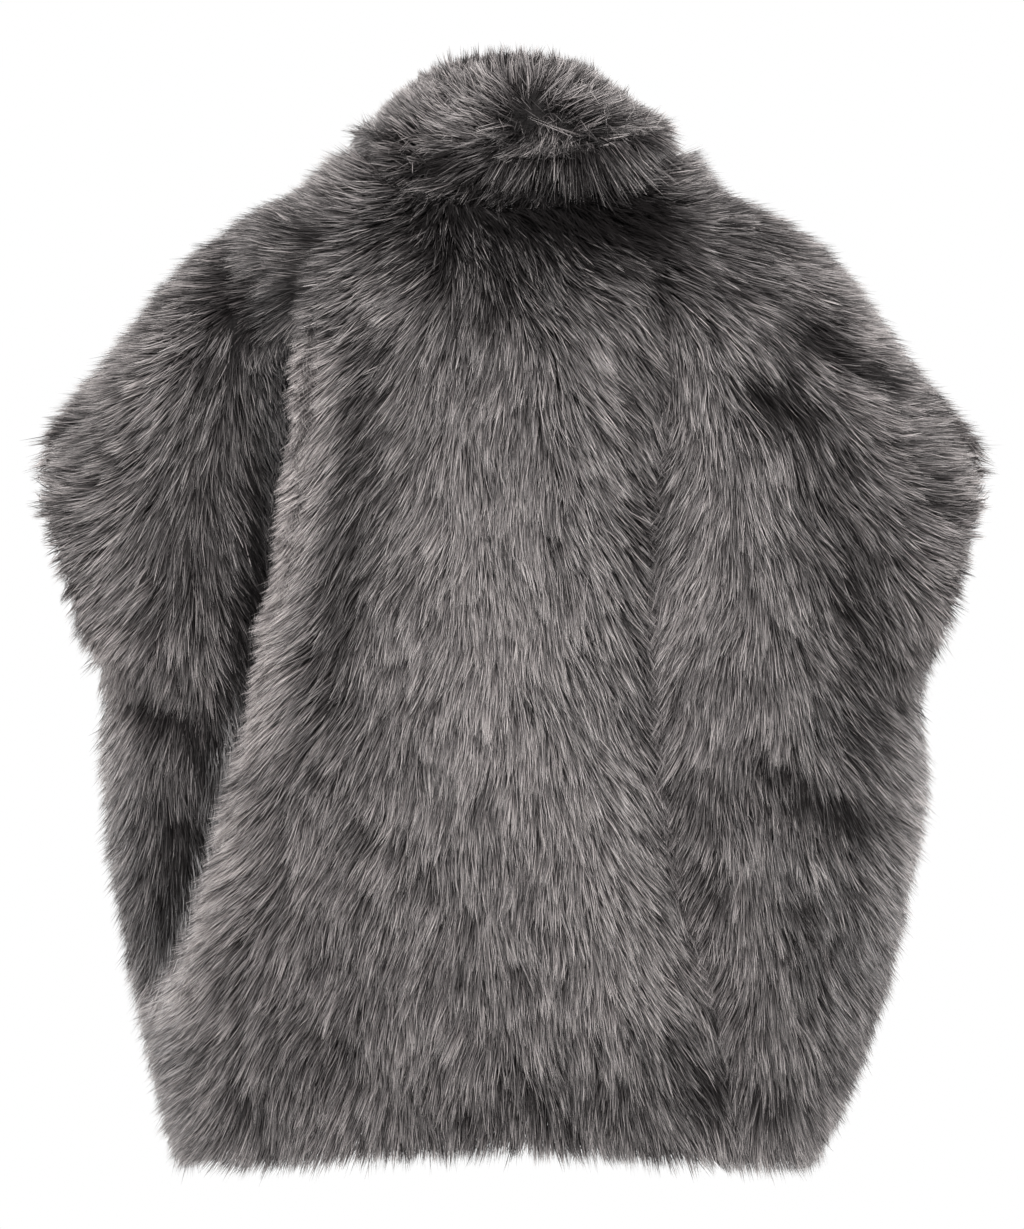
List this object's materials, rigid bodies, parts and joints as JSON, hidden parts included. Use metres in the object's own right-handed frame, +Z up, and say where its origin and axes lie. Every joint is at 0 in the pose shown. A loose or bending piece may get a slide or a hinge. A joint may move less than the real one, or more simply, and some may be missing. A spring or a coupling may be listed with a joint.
{
  "type": "oversized gilet",
  "caption": "Oversized sleeveless gilet in long grey pile with a standing collar, wide drooping shoulders and open armholes, filled out as if worn.",
  "frame": {"origin": "middle of the neck at the height of the collar seam, where the wearer's shoulders and neck hold the garment", "axes": "+Z up, +Y towards the wearer's front, +X towards the wearer's right; the back faces -Y"},
  "size_m": [0.684, 0.3309, 0.807],
  "materials": {
    "grey_pile": "long soft pile, warm mid grey with paler tips"
  },
  "bodies": {
    "root": {"back": "grey_pile", "front_left": "grey_pile", "front_right": "grey_pile", "collar": "grey_pile"}
  },
  "joints": []
}
